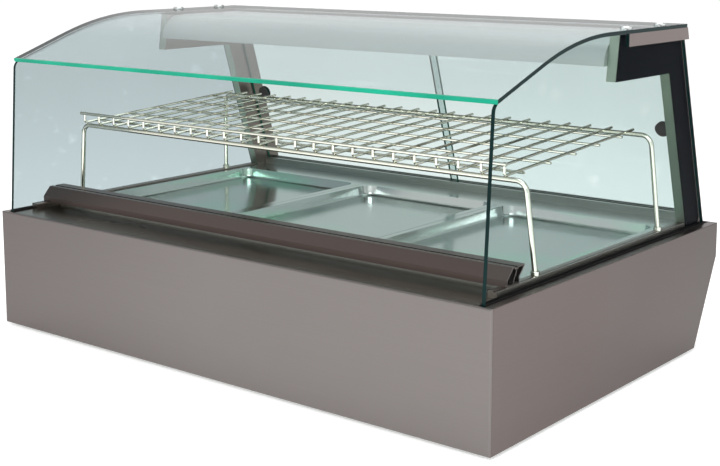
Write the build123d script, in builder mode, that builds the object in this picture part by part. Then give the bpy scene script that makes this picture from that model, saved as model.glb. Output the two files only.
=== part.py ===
from build123d import *
import os
from math import atan2, cos, degrees, hypot, radians, sin, sqrt, tan

os.makedirs("parts", exist_ok=True)

# Self-service heated display: a slant-backed steel base with three shallow
# pans, glass on both sides and on top, a wire rack on legs, two sliding
# glass doors at the back and a heat and light canopy under the top glass.
# Millimetres. +X is to the customer's right, +Y runs from the customer's
# side to the server's side, +Z is up. The origin is under the middle of the
# whole object, on the surface it stands on.

# Base: its width is the three pans and a margin at each side, and its
# depth is one pan with the ledge in front of it and a margin behind
base_margin = 41.5
base_back_margin = 114.0
base_height = 208.0
foot_height = 6.0
fascia_height = 59.0
back_set_in = 76.0
sheet = 1.5
panel_return = 4.0
panel_bend = 2.5
seam = 0.4
side_flange = 14.2
side_bend = 1.2
floor_upstand = 15.0

# Feet
foot_radius = 16.0
foot_stud_radius = 3.0
foot_stud_length = 9.0
foot_inset_side = 75.0
foot_inset_front = 65.0
foot_inset_back = 150.0

# Deck and well
plateau_start = 100.0
plateau_rise = 6.5
pan_width = 325.0
pan_length = 470.0
pan_gap = 1.0
pan_depth = 19.0
pan_sheet = 1.0
pan_rim = 12.0
pan_rim_corner = 18.0
pan_cavity_corner = 26.0
pan_wall_draft = 12.0
pan_floor_bend = 5.0
pan_front = 133.0
pan_ledge = 8.0
bar_width = 19.0
bar_height = 10.5
well_depth = 68.0
well_sheet = 1.2
well_side_gap = 1.5
well_end_gap = 4.2
well_flange = 3.8
mat_thickness = 25.0

# Heating in the well: a flat-sided sheath, drawn with a few sides
element_radius = 4.0
element_sides = 8
element_pitch = 60.0
element_front_margin = 49.0
element_back_margin = 35.0
element_tail = 22.0
element_lift = 10.0
rest_width = 12.0
rest_margin = 8.0

# Front rail
rail_front = 76.0
rail_depth = 47.0
rail_rise = 26.0
rail_knee = 9.5
rail_wall = 2.0
rail_end_gap = 3.0
rail_face_lean = 15.0
rail_foot_depth = 33.0
rail_groove = (23.0, 28.0)
rail_groove_sink = 2.0
rail_nose = 3.0
rail_nose_slant = 1.0
rail_web_top = 26.0

# Side glass and its clamps
glass = 6.0
glass_inset = 16.0
glass_front_foot = 9.0
glass_front_lean = 3.65
glass_corner = 15.0
glass_sink = 8.0
gasket_floor = 2.0
gasket_outer = 1.4
gasket_inner = 1.8
gasket_show = 2.5
bond = 0.4
clamp_width = 15.0
clamp_rise = 10.0
clamp_start = 50.0
clamp_groove = 4.0

# Top glass
top_rise = 351.0
top_front = 28.0
top_slope = 19.4
top_bend = 583.0
top_bend_setback = 378.0
top_back_setback = 117.0
top_overhang = 1.0

# Uprights, black masks and top brackets, set back from the base's back face
lean = 17.1
upright_setback = 77.0
upright_depth = 71.0
upright_width = 16.5
arm_underside = 272.0
arm_low_setback = 343.0
arm_high_setback = 333.0
mask_sheet = 1.2
mask_depth = 53.0
mask_bottom = 3.0
mask_corner = 8.0
bracket_setback = 317.0
bracket_rise = 20.0

# Top glass fixings
fixing_head_radius = 10.0
fixing_head = 4.0
fixing_stud_radius = 4.0
fixing_grip = 12.0
fixing_end_play = 1.0
fixing_setbacks = (297.0, 182.0)
fixing_clearance = 0.1

# Canopy with the heat and light
canopy_setback = 350.0
canopy_underside = 295.5
canopy_bow = 45.0
canopy_depth = 198.0
canopy_sheet = 1.2
canopy_lip = 14.0
end_gap = 0.5
reflector_sheet = 1.0
reflector_slope = 26.0
reflector_lift = 31.0
reflector_lap = 2.0
heat_tube_radius = 5.5
heat_tube_length = 280.0
heat_tube_pitch = 318.0
heat_tube_place = 122.0
holder_width = 16.0
holder_length = 14.0
holder_wall = 4.0
light_radius = 8.0
light_place = 62.0
light_cap = 14.0
light_cap_wall = 2.5
light_gap = 1.0
tube_fit = 0.05

# Sliding doors and their tracks
door_glass = 5.0
door_pitch = 11.5
door_setback = 37.0
door_overlap = 12.0
door_side_gap = 1.5
track_setback = 55.0
track_back_wall = 6.0
track_height = 14.0
track_floor = 2.5
track_play = 0.8
shoe_wall = 0.8
shoe_height = 8.0
shoe_gap = 0.4
top_track_height = 28.0
top_track_roof = 4.0
top_track_front_wall = 3.0
door_head_gap = 6.0
pull_flange_radius = 13.0
pull_body_radius = 10.5
pull_cup_radius = 9.0
pull_flange = 1.2
pull_floor = 1.5
pull_inset = 30.0
pull_rise = 167.0

# Wire rack
rod_radius = 4.0
rod_bend = 18.0
front_rod_line = 158.0
front_rod_rise = 145.5
front_rod_splay = 15.3
back_rod_setback = 178.0
back_rod_rise = 169.0
back_rod_splay = 12.3
front_foot_line = 162.0
back_foot_setback = 167.0
wire_radius = 2.0
wire_sides = 8
cross_radius = 2.0
fence_radius = 2.5
weld = 0.4
wire_count = 24
wire_left_margin = 10.0
wire_right_margin = 33.0
wire_back_reach = 8.0
fence_line = 152.0
fence_rise = 20.0
fence_bend = 5.0
cross_front_margin = 39.0
cross_back_margin = 42.0
cross_count = 5
cross_reach = 6.0
rod_gap = 0.05

# Leg sockets on the side clamps
socket_radius = 6.5
socket_height = 6.5
socket_floor = 1.5
socket_play = 1.2
foot_play = 0.9

# Controls on the back fascia
knob_radius = 20.0
knob_height = 15.0
knob_gap = 1.0
knob_skirt = 4.0
knob_grip = 9.0
knob_grip_radius = 16.0
knob_grip_foot = 2.0
knob_draft = 3.0
shaft_radius = 3.0
shaft_fit = 0.05
shaft_length = 12.0
shaft_end_play = 1.0
bushing_radius = 5.0
bushing_proud = 3.0
bushing_clearance = 0.2
bushing_room = 1.0
stat_size = 38.0
stat_depth = 30.0
knob_place = -330.0
lamp_place = -285.0
heat_switch_place = -390.0
light_switch_place = -430.0
switch_width = 22.0
switch_height = 30.0
switch_bezel = 2.0
switch_rim = 2.5
switch_body_inset = 2.75
switch_throat_inset = 5.0
switch_throat_depth = 16.0
switch_body_depth = 24.0
switch_fit = 0.4
rocker_angle = 7.0
rocker_depth = 8.0
rocker_pivot_radius = 1.5
rocker_heel = 1.0
pivot_seat = 0.5
pivot_fit = 0.05
lamp_radius = 6.0
lamp_hole = 5.0
lamp_proud = 3.0
lamp_draft = 12.0

# Back panel
slot_length = 60.0
slot_width = 5.0
slot_pitch = 22.0
slot_count = 10
slot_group = 210.0
gland_place = 400.0
gland_drop = 45.0
gland_radius = 10.0
gland_hex = 13.0
gland_length = 16.0
gland_bore = 4.5
gland_clearance = 0.15
gland_draft = 10.0

# Inner frame and small parts
post_leg = 24.0
post_inset = 2.0
terminal_length = 80.0
terminal_width = 22.0
terminal_height = 18.0
terminal_ways = 5
screw_head_radius = 4.0
screw_head = 2.0
screw_shank_radius = 2.0
screw_shank = 8.0
screw_clearance = 0.1
screw_inset = 14.0

# How far a cut runs past the face it opens
cut_over = 1.0

# Levels and places worked out from the sizes above
pans_half = 1.5 * pan_width + pan_gap
half = pans_half + base_margin
base_depth = pan_front + pan_length + base_back_margin
knob_reach = knob_gap + knob_height
front = -(base_depth + knob_reach) / 2
back = front + base_depth
floor = foot_height
deck_top = floor + base_height
plateau = deck_top + plateau_rise
fascia_foot = deck_top - fascia_height
strip_angle = degrees(atan2(back_set_in, base_height - fascia_height))
lean_rate = tan(radians(lean))
glass_out = half - glass_inset
glass_in = glass_out - glass
mask_in = glass_in - bond - mask_sheet
upright_out = mask_in - bond
upright_in = upright_out - upright_width
rim_top = plateau + pan_sheet
opening_half = pans_half - pan_ledge
opening_front = front + pan_front + pan_ledge
opening_back = front + pan_front + pan_length - pan_ledge
glass_top = deck_top + top_rise
glass_under = glass_top - glass
bracket_foot = glass_under - bracket_rise
clamp_top = deck_top + clamp_rise


def leaning(setback, height):
    """Y of a line that leans forward, given its setback at deck level."""
    return back - setback - (height - deck_top) * lean_rate


def slab(x_range, y_range, z_range, mode=Mode.ADD):
    """A block between two limits on each axis."""
    lows = (x_range[0], y_range[0], z_range[0])
    highs = (x_range[1], y_range[1], z_range[1])
    middle = tuple((low + high) / 2 for low, high in zip(lows, highs))
    size = tuple(high - low for low, high in zip(lows, highs))
    with Locations(middle):
        Box(*size, mode=mode)


def save(builder, name):
    """Label a finished piece and write its file."""
    builder.part.label = name
    export_step(builder.part, f"parts/{name}.step")


# Front panel: a shallow folded tray with soft outer bends
with BuildPart() as front_panel:
    slab((-half, half), (front, front + panel_return), (floor, deck_top))
    fillet(front_panel.faces().sort_by(Axis.Y)[0].edges(), radius=panel_bend)
    slab(
        (-half + sheet, half - sheet),
        (front + sheet, front + panel_return),
        (floor + sheet, deck_top - sheet),
        Mode.SUBTRACT,
    )
save(front_panel, "front_panel")

# Side panels: the slant-backed outline with an inward flange on top
side_start = front + panel_return + seam
for name, side in (("side_panel_left", -1), ("side_panel_right", 1)):
    with BuildPart() as side_panel:
        with BuildSketch(Plane.YZ.offset(side * (half - sheet))):
            with BuildLine():
                Polyline(
                    (side_start, floor),
                    (side_start, deck_top),
                    (back, deck_top),
                    (back, fascia_foot),
                    (back - back_set_in, floor),
                    close=True,
                )
            make_face()
        extrude(amount=side * sheet)
        slab(
            sorted((side * (half - side_flange), side * (half - sheet))),
            (side_start, back - panel_return - seam),
            (deck_top - sheet, deck_top),
        )
        top_edge = side_panel.edges().filter_by(Axis.Y).group_by(Axis.Z)[-1].sort_by(Axis.X)
        fillet(top_edge[0] if side < 0 else top_edge[-1], radius=side_bend)
    save(side_panel, name)

# Back fascia with the control cut-outs
inner_half = half - sheet - seam
fascia_middle = (fascia_foot + deck_top) / 2
switch_places = (heat_switch_place, light_switch_place)
fascia_screws = [(x, fascia_middle) for x in (-inner_half + screw_inset, 0, inner_half - screw_inset)]
fascia_plane = Plane(origin=(0, back, 0), x_dir=(1, 0, 0), z_dir=(0, -1, 0))
with BuildPart() as rear_fascia:
    slab((-inner_half, inner_half), (back - sheet, back), (fascia_foot + seam, deck_top))
    slab((-inner_half, inner_half), (back - panel_return, back), (deck_top - sheet, deck_top))
    with BuildSketch(fascia_plane):
        with Locations((knob_place, fascia_middle)):
            Circle(bushing_radius + bushing_clearance)
        with Locations((lamp_place, fascia_middle)):
            Circle(lamp_hole + bushing_clearance)
        with Locations(*[(x, fascia_middle) for x in switch_places]):
            Rectangle(switch_width - 2 * switch_rim, switch_height - 2 * switch_rim)
        with Locations(*fascia_screws):
            Circle(screw_shank_radius + screw_clearance)
    extrude(amount=sheet, mode=Mode.SUBTRACT)
save(rear_fascia, "rear_fascia")

# Slanted back panel with cooling slots and the gland's hole
slant = radians(strip_angle)
slant_sheet = sheet / cos(slant)
slant_length = hypot(back_set_in, base_height - fascia_height)
slant_plane = Plane(
    origin=(0, back - back_set_in / 2, (floor + fascia_foot) / 2),
    x_dir=(1, 0, 0),
    z_dir=(0, cos(slant), -sin(slant)),
)
panel_screws_on_slant = [
    (x, y)
    for x in (-inner_half + screw_inset, 0, inner_half - screw_inset)
    for y in (-slant_length / 2 + screw_inset, slant_length / 2 - screw_inset)
]
with BuildPart() as rear_panel:
    with BuildSketch(Plane.YZ.offset(-inner_half)):
        with BuildLine():
            Polyline(
                (back - back_set_in, floor),
                (back, fascia_foot),
                (back - slant_sheet, fascia_foot),
                (back - back_set_in - slant_sheet, floor),
                close=True,
            )
        make_face()
    extrude(amount=2 * inner_half)
    with BuildSketch(slant_plane):
        with Locations((-slot_group, 0), (slot_group, 0)):
            with GridLocations(slot_pitch, 1, slot_count, 1):
                SlotOverall(slot_length, slot_width, rotation=90)
        with Locations((gland_place, gland_drop)):
            Circle(gland_radius + gland_clearance)
        with Locations(*panel_screws_on_slant):
            Circle(screw_shank_radius + screw_clearance)
    extrude(amount=-2 * sheet, mode=Mode.SUBTRACT)
save(rear_panel, "rear_panel")

# Base floor: a tray with upstands, and holes for the feet
floor_back = back - back_set_in - slant_sheet - seam
foot_places = [
    (side * (half - foot_inset_side), y)
    for side in (-1, 1)
    for y in (front + foot_inset_front, back - foot_inset_back)
]
with BuildPart() as base_floor:
    slab((-inner_half, inner_half), (side_start, floor_back), (floor, floor + floor_upstand))
    slab(
        (-inner_half + sheet, inner_half - sheet),
        (side_start + sheet, floor_back - sheet),
        (floor + sheet, floor + floor_upstand),
        Mode.SUBTRACT,
    )
    with BuildSketch(Plane.XY.offset(floor)):
        with Locations(*foot_places):
            Circle(foot_stud_radius + screw_clearance)
    extrude(amount=sheet, mode=Mode.SUBTRACT)
save(base_floor, "base_floor")

# Rubber feet with their studs
with BuildPart() as feet:
    for x, y in foot_places:
        with BuildSketch(Plane.XY):
            with Locations((x, y)):
                Circle(foot_radius)
        extrude(amount=foot_height)
        with BuildSketch(Plane.XY.offset(foot_height)):
            with Locations((x, y)):
                Circle(foot_stud_radius)
        extrude(amount=foot_stud_length)
    chamfer(feet.edges().group_by(Axis.Z)[0], length=foot_height / 4)
save(feet, "feet")

# Corner posts that carry the deck on the floor
post_front = side_start + sheet + post_inset
post_back = floor_back - sheet - post_inset
post_side = inner_half - sheet - post_inset
with BuildPart() as corner_posts:
    for side in (-1, 1):
        for near, inward in ((post_front, 1), (post_back, -1)):
            outer = side * post_side
            slab(
                sorted((outer, outer - side * post_leg)),
                sorted((near, near + inward * post_leg)),
                (floor + sheet, deck_top - glass_sink - gasket_floor - sheet),
            )
            slab(
                sorted((outer - side * sheet, outer - side * post_leg)),
                sorted((near + inward * sheet, near + inward * post_leg)),
                (floor + sheet, deck_top - glass_sink - gasket_floor - sheet),
                Mode.SUBTRACT,
            )
save(corner_posts, "corner_posts")

# Deck: a low ledge all round, a raised plateau, and the glass ledges
deck_half = glass_in - gasket_inner - seam
deck_back = back - panel_return - seam
plateau_half = pans_half + pan_gap
plateau_front = front + plateau_start
ledge_top = deck_top - glass_sink - gasket_floor
bar_foot = plateau - bar_height
bar_places = (-(pan_width + pan_gap) / 2, (pan_width + pan_gap) / 2)
with BuildPart() as deck:
    slab((-deck_half, deck_half), (side_start, deck_back), (ledge_top - sheet, deck_top))
    slab(
        (-deck_half + sheet, deck_half - sheet),
        (side_start, deck_back),
        (ledge_top - sheet, deck_top - sheet),
        Mode.SUBTRACT,
    )
    for side in (-1, 1):
        slab(
            sorted((side * deck_half, side * (half - sheet - seam))),
            (side_start, deck_back),
            (ledge_top - sheet, ledge_top),
        )
    slab((-plateau_half, plateau_half), (plateau_front, deck_back), (deck_top - sheet, plateau))
    slab(
        (-plateau_half + sheet, plateau_half - sheet),
        (plateau_front + sheet, deck_back - sheet),
        (deck_top - sheet, plateau - sheet),
        Mode.SUBTRACT,
    )
    slab(
        (-opening_half, opening_half),
        (opening_front, opening_back),
        (plateau - sheet, plateau),
        Mode.SUBTRACT,
    )
    for x in bar_places:
        for edge, inward in ((opening_front, 1), (opening_back, -1)):
            slab(
                (x - bar_width / 2, x + bar_width / 2),
                sorted((edge - inward * sheet, edge)),
                (bar_foot, plateau - sheet),
            )
            slab(
                (x - bar_width / 2, x + bar_width / 2),
                sorted((edge - inward * sheet, edge + inward * pan_ledge)),
                (bar_foot - sheet, bar_foot),
            )
save(deck, "deck")

# Pan bars: inverted channels between the pans, on the deck's tabs
with BuildPart() as pan_bars:
    for x in bar_places:
        slab(
            (x - bar_width / 2, x + bar_width / 2),
            (opening_front + seam, opening_back - seam),
            (bar_foot, plateau),
        )
        slab(
            (x - bar_width / 2 + sheet, x + bar_width / 2 - sheet),
            (opening_front + seam, opening_back - seam),
            (bar_foot, plateau - sheet),
            Mode.SUBTRACT,
        )
save(pan_bars, "pan_bars")

# Well: an open tank under the pans, hung from the plateau
well_half = opening_half + well_side_gap
well_front = opening_front - well_end_gap
well_back = opening_back + well_end_gap
well_top = plateau - sheet
well_foot = well_top - well_depth
element_level = well_foot + well_sheet + element_lift + element_radius
element_tails = [
    (middle + side * 1.5 * element_pitch, element_level)
    for middle in (-(pan_width + pan_gap), 0, pan_width + pan_gap)
    for side in (-1, 1)
]
with BuildPart() as well_liner:
    slab(
        (-well_half - well_flange, well_half + well_flange),
        (well_front - well_flange, well_back + well_flange),
        (well_top - well_sheet, well_top),
    )
    slab(
        (-well_half - well_sheet, well_half + well_sheet),
        (well_front - well_sheet, well_back + well_sheet),
        (well_foot, well_top),
    )
    slab(
        (-well_half, well_half),
        (well_front, well_back),
        (well_foot + well_sheet, well_top),
        Mode.SUBTRACT,
    )
    with BuildSketch(Plane.XZ.offset(-well_back)):
        with Locations(*element_tails):
            Circle(element_radius + tube_fit)
    extrude(amount=-well_sheet, mode=Mode.SUBTRACT)
save(well_liner, "well_liner")

# Insulation mat under the well
with BuildPart() as insulation_mat:
    slab(
        (-well_half - well_sheet, well_half + well_sheet),
        (well_front - well_sheet, well_back + well_sheet),
        (well_foot - mat_thickness, well_foot),
    )
save(insulation_mat, "insulation_mat")

# Mat bearers: two rails that hold the mat and the well up from the floor
with BuildPart() as mat_bearers:
    for y in (well_front + post_leg, well_back - 2 * post_leg):
        slab(
            (-well_half, well_half),
            (y, y + post_leg),
            (floor + sheet, well_foot - mat_thickness),
        )
        slab(
            (-well_half, well_half),
            (y + sheet, y + post_leg - sheet),
            (floor + sheet, well_foot - mat_thickness - sheet),
            Mode.SUBTRACT,
        )
save(mat_bearers, "mat_bearers")

# Heating elements: one serpentine tube under each pan
bend = element_pitch / 2
near_y = opening_front + element_front_margin
far_y = opening_back - element_back_margin
with BuildPart() as heating_elements:
    for middle in (-(pan_width + pan_gap), 0, pan_width + pan_gap):
        far = well_back + element_tail
        lanes = [middle + step * element_pitch for step in (-1.5, -0.5, 0.5, 1.5)]
        with BuildLine(Plane.XY.offset(element_level)) as element_path:
            Line((lanes[0], far), (lanes[0], near_y))
            ThreePointArc((lanes[0], near_y), (lanes[0] + bend, near_y - bend), (lanes[1], near_y))
            Line((lanes[1], near_y), (lanes[1], far_y))
            ThreePointArc((lanes[1], far_y), (lanes[1] + bend, far_y + bend), (lanes[2], far_y))
            Line((lanes[2], far_y), (lanes[2], near_y))
            ThreePointArc((lanes[2], near_y), (lanes[2] + bend, near_y - bend), (lanes[3], near_y))
            Line((lanes[3], near_y), (lanes[3], far))
        with BuildSketch(Plane(origin=(lanes[0], far, element_level), z_dir=(0, -1, 0))):
            RegularPolygon(element_radius, element_sides)
        sweep(path=element_path.line)
save(heating_elements, "heating_elements")

# Rests that hold the heating elements off the well's floor
with BuildPart() as element_rests:
    for y in (near_y + rest_margin, far_y - rest_margin - rest_width):
        slab(
            (-well_half + rest_margin, well_half - rest_margin),
            (y, y + rest_width),
            (well_foot + well_sheet, well_foot + well_sheet + element_lift),
        )
save(element_rests, "element_rests")

# Pans: shallow pressed trays with a flat rim
for index, name in enumerate(("pan_left", "pan_centre", "pan_right")):
    pan_x = (index - 1) * (pan_width + pan_gap)
    pan_y = front + pan_front + pan_length / 2
    cavity = (pan_width - 2 * pan_rim, pan_length - 2 * pan_rim)
    with BuildPart() as pan:
        with BuildSketch(Plane.XY.offset(rim_top)):
            with Locations((pan_x, pan_y)):
                RectangleRounded(pan_width, pan_length, pan_rim_corner)
        extrude(amount=-pan_sheet)
        with BuildSketch(Plane.XY.offset(rim_top)):
            with Locations((pan_x, pan_y)):
                RectangleRounded(*cavity, pan_cavity_corner)
        extrude(amount=-pan_depth, taper=pan_wall_draft)
        with BuildSketch(Plane.XY.offset(rim_top)):
            with Locations((pan_x, pan_y)):
                RectangleRounded(
                    cavity[0] - 2 * pan_sheet, cavity[1] - 2 * pan_sheet, pan_cavity_corner - pan_sheet
                )
        extrude(amount=pan_sheet - pan_depth, taper=pan_wall_draft, mode=Mode.SUBTRACT)
        pan_floor = pan.faces().filter_by(Axis.Z).sort_by(Axis.Z)[1]
        fillet(pan_floor.edges(), radius=pan_floor_bend)
    save(pan, name)

# Front rail: a leaning hollow extrusion with a grooved top
rail_y = front + rail_front
rail_foot = clamp_top
rail_top = rail_foot + rail_rise
rail_half = glass_in - rail_end_gap
groove_front, groove_back = (rail_y + edge for edge in rail_groove)
groove_base = rail_top - rail_groove_sink
web_foot = (rail_y + rail_face_lean, rail_foot + rail_wall / 2)
web_head = (rail_y + rail_web_top, groove_base - rail_wall / 2)
with BuildPart() as front_rail:
    with BuildSketch(Plane.YZ.offset(-rail_half)):
        with BuildLine():
            Polyline(
                (rail_y, rail_foot),
                (rail_y, rail_foot + rail_knee),
                (rail_y + rail_face_lean, rail_top),
                (groove_front, rail_top),
                (groove_front, groove_base),
                (groove_back, groove_base),
                (groove_back, rail_top),
                (rail_y + rail_depth, rail_top),
                (rail_y + rail_depth - rail_nose_slant, rail_top - rail_nose),
                (rail_y + rail_foot_depth, rail_foot + rail_knee),
                (rail_y + rail_foot_depth, rail_foot),
                close=True,
            )
        make_face()
        offset(amount=-rail_wall, kind=Kind.INTERSECTION, mode=Mode.SUBTRACT)
        with BuildLine():
            Polyline(
                web_foot,
                (web_foot[0] + rail_wall, web_foot[1]),
                (web_head[0] + rail_wall, web_head[1]),
                web_head,
                close=True,
            )
        make_face()
    extrude(amount=2 * rail_half)
save(front_rail, "front_rail")

# Side clamps along the foot of the side glass
clamp_out = deck_half
clamp_in = clamp_out - clamp_width
clamp_end = leaning(upright_setback, clamp_top) - seam
for name, side in (("side_clamp_left", -1), ("side_clamp_right", 1)):
    with BuildPart() as side_clamp:
        slab(
            sorted((side * clamp_in, side * clamp_out)),
            (front + clamp_start, clamp_end),
            (deck_top, clamp_top),
        )
        groove_middle = side * (clamp_out - clamp_groove)
        slab(
            (groove_middle - clamp_groove / 4, groove_middle + clamp_groove / 4),
            (front + clamp_start, clamp_end),
            (clamp_top - clamp_groove / 2, clamp_top),
            Mode.SUBTRACT,
        )
        inner_edges = side_clamp.edges().filter_by(Axis.Y).group_by(Axis.Z)[-1].sort_by(Axis.X)
        fillet(inner_edges[-1] if side < 0 else inner_edges[0], radius=clamp_groove / 2)
    save(side_clamp, name)

# Black gaskets round the foot of the side glass
gasket_back = leaning(upright_setback - mask_depth, deck_top)
with BuildPart() as glass_gaskets:
    for side in (-1, 1):
        slab(
            sorted((side * (glass_in - gasket_inner), side * (glass_out + gasket_outer))),
            (front + glass_front_foot, gasket_back),
            (ledge_top, deck_top + gasket_show),
        )
        slab(
            sorted((side * glass_in, side * glass_out)),
            (front + glass_front_foot, gasket_back),
            (ledge_top + gasket_floor, deck_top + gasket_show),
            Mode.SUBTRACT,
        )
save(glass_gaskets, "glass_gaskets")

# Top glass: a sheet that rises, bends once and runs level to the back
rise = radians(top_slope)
bend_end_y = back - top_bend_setback
bend_start_y = bend_end_y - top_bend * sin(rise)
bend_start_z = glass_top - top_bend * (1 - cos(rise))
front_edge_y = front + top_front


def top_line(drop, start_y, end_y):
    """The top glass's line, drawn a given depth below its upper face."""
    bent = (bend_start_y + drop * sin(rise), bend_start_z - drop * cos(rise))
    start = (start_y, bent[1] - (bent[0] - start_y) * tan(rise))
    level = (bend_end_y, glass_top - drop)
    return start, bent, level, (end_y, glass_top - drop)


fixing_places = [
    (side * (upright_in + upright_out) / 2, back - setback)
    for side in (-1, 1)
    for setback in fixing_setbacks
]
with BuildPart() as top_glass:
    upper = top_line(0, front_edge_y, back - top_back_setback)
    lower = top_line(glass, front_edge_y + glass * sin(rise), back - top_back_setback)
    with BuildSketch(Plane.YZ.offset(-glass_out - top_overhang)):
        with BuildLine():
            Line(upper[0], upper[1])
            JernArc(upper[1], (cos(rise), sin(rise)), top_bend, -top_slope)
            Line(upper[2], upper[3])
            Line(upper[3], lower[3])
            Line(lower[3], lower[2])
            JernArc(lower[1], (cos(rise), sin(rise)), top_bend - glass, -top_slope)
            Line(lower[1], lower[0])
            Line(lower[0], upper[0])
        make_face()
    extrude(amount=2 * (glass_out + top_overhang))
    with BuildSketch(Plane.XY.offset(glass_top)):
        with Locations(*fixing_places):
            Circle(fixing_stud_radius + fixing_clearance)
    extrude(amount=-glass, mode=Mode.SUBTRACT)
save(top_glass, "top_glass")

# Side glass: leaning front edge, round shoulder, top under the top glass
glass_foot = deck_top - glass_sink
notch_foot = bracket_foot - bond
notch_front = back - bracket_setback - bond
under = top_line(glass + bond, front_edge_y, notch_front)
edge_lean = radians(glass_front_lean)
shoulder_y = front + glass_front_foot + (under[0][1] - glass_foot) * tan(edge_lean)
mask_back_foot = upright_setback - mask_depth
for name, side in (("side_glass_left", -1), ("side_glass_right", 1)):
    with BuildPart() as side_glass:
        with BuildSketch(Plane.YZ.offset(side * glass_in)):
            with BuildLine():
                Polyline(
                    under[1],
                    (shoulder_y, under[1][1] - (under[1][0] - shoulder_y) * tan(rise)),
                    (front + glass_front_foot, glass_foot),
                    (leaning(mask_back_foot, glass_foot), glass_foot),
                    (leaning(mask_back_foot, notch_foot), notch_foot),
                    (notch_front, notch_foot),
                    under[3],
                    under[2],
                )
                JernArc(under[1], (cos(rise), sin(rise)), top_bend - glass - bond, -top_slope)
            make_face()
        extrude(amount=side * glass)
        shoulder = side_glass.edges().filter_by(Axis.X).sort_by_distance(
            (side * glass_in, shoulder_y, under[0][1])
        )[0]
        fillet(shoulder, radius=glass_corner)
    save(side_glass, name)


def bracket_outline(back_foot, low, level_back):
    """The upright's inverted L, from its foot level up to under the glass."""
    arm_level = deck_top + arm_underside
    Polyline(
        (back - arm_high_setback, glass_under - bond),
        (back - arm_low_setback, arm_level),
        (leaning(upright_setback, arm_level), arm_level),
        (leaning(upright_setback, low), low),
        (leaning(back_foot, low), low),
        (leaning(back_foot, level_back), level_back),
        (back - bracket_setback - bond, level_back),
        (back - bracket_setback - bond, glass_under - bond),
        close=True,
    )


# Uprights: leaning posts with a forward arm that carries the top glass
bracket_back = upright_setback - upright_depth
for name, side in (("upright_left", -1), ("upright_right", 1)):
    with BuildPart() as upright:
        with BuildSketch(Plane.YZ.offset(side * upright_in)):
            with BuildLine():
                bracket_outline(bracket_back, deck_top, bracket_foot)
            make_face()
        extrude(amount=side * upright_width)
    save(upright, name)

# Black masks between the uprights and the side glass
for name, side in (("glass_mask_left", -1), ("glass_mask_right", 1)):
    with BuildPart() as glass_mask:
        with BuildSketch(Plane.YZ.offset(side * mask_in)):
            with BuildLine():
                bracket_outline(mask_back_foot, deck_top + mask_bottom, bracket_foot - bond)
            make_face()
        extrude(amount=side * mask_sheet)
        heel = glass_mask.edges().filter_by(Axis.X).sort_by_distance(
            (side * mask_in, leaning(mask_back_foot, deck_top), deck_top)
        )[0]
        fillet(heel, radius=mask_corner)
    save(glass_mask, name)

# Top brackets: blocks on the arms that the top glass is bolted to
for name, side in (("top_bracket_left", -1), ("top_bracket_right", 1)):
    with BuildPart() as top_bracket:
        with BuildSketch(Plane.YZ.offset(side * upright_in)):
            with BuildLine():
                Polyline(
                    (back - bracket_setback, bracket_foot),
                    (leaning(bracket_back, bracket_foot), bracket_foot),
                    (leaning(bracket_back, glass_under), glass_under),
                    (back - bracket_setback, glass_under),
                    close=True,
                )
            make_face()
        extrude(amount=side * (glass_out - upright_in))
        with BuildSketch(Plane.XY.offset(glass_under)):
            with Locations(*[place for place in fixing_places if place[0] * side > 0]):
                Circle(fixing_stud_radius + fixing_clearance)
        extrude(amount=-fixing_grip, mode=Mode.SUBTRACT)
    save(top_bracket, name)

# Round fixings through the top glass
with BuildPart() as glass_fixings:
    for x, y in fixing_places:
        with BuildSketch(Plane.XY.offset(glass_top)):
            with Locations((x, y)):
                Circle(fixing_head_radius)
        extrude(amount=fixing_head)
        with BuildSketch(Plane.XY.offset(glass_top)):
            with Locations((x, y)):
                Circle(fixing_stud_radius)
        extrude(amount=fixing_end_play - glass - fixing_grip)
    chamfer(glass_fixings.edges().group_by(Axis.Z)[-1], length=fixing_head / 4)
save(glass_fixings, "glass_fixings")

# Canopy: a bowed front, flat top and closed ends, open below
canopy_half = upright_in - end_gap
canopy_y = back - canopy_setback
canopy_z = deck_top + canopy_underside
canopy_end = canopy_y + canopy_depth
canopy_roof = canopy_z + canopy_bow


def canopy_outline(inset):
    """The canopy's closed section, shrunk by a given inset but not at its foot."""
    bow = canopy_bow - inset
    Line((canopy_y + inset, canopy_z), (canopy_end - inset, canopy_z))
    Line((canopy_end - inset, canopy_z), (canopy_end - inset, canopy_roof - inset))
    Line((canopy_end - inset, canopy_roof - inset), (canopy_y + canopy_bow, canopy_roof - inset))
    ThreePointArc(
        (canopy_y + canopy_bow, canopy_roof - inset),
        (canopy_y + canopy_bow - bow * sqrt(0.5), canopy_z + bow * sqrt(0.5)),
        (canopy_y + inset, canopy_z),
    )


with BuildPart() as canopy:
    with BuildSketch(Plane.YZ.offset(-canopy_half)):
        with BuildLine():
            canopy_outline(0)
        make_face()
    extrude(amount=2 * canopy_half)
    with BuildSketch(Plane.YZ.offset(-canopy_half + canopy_sheet)):
        with BuildLine():
            canopy_outline(canopy_sheet)
        make_face()
    extrude(amount=2 * (canopy_half - canopy_sheet), mode=Mode.SUBTRACT)
    for lip_y in (
        (canopy_y + canopy_sheet / 2, canopy_y + canopy_lip),
        (canopy_end - canopy_lip, canopy_end - canopy_sheet / 2),
    ):
        slab((-canopy_half, canopy_half), lip_y, (canopy_z, canopy_z + canopy_sheet))
save(canopy, "canopy")

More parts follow.
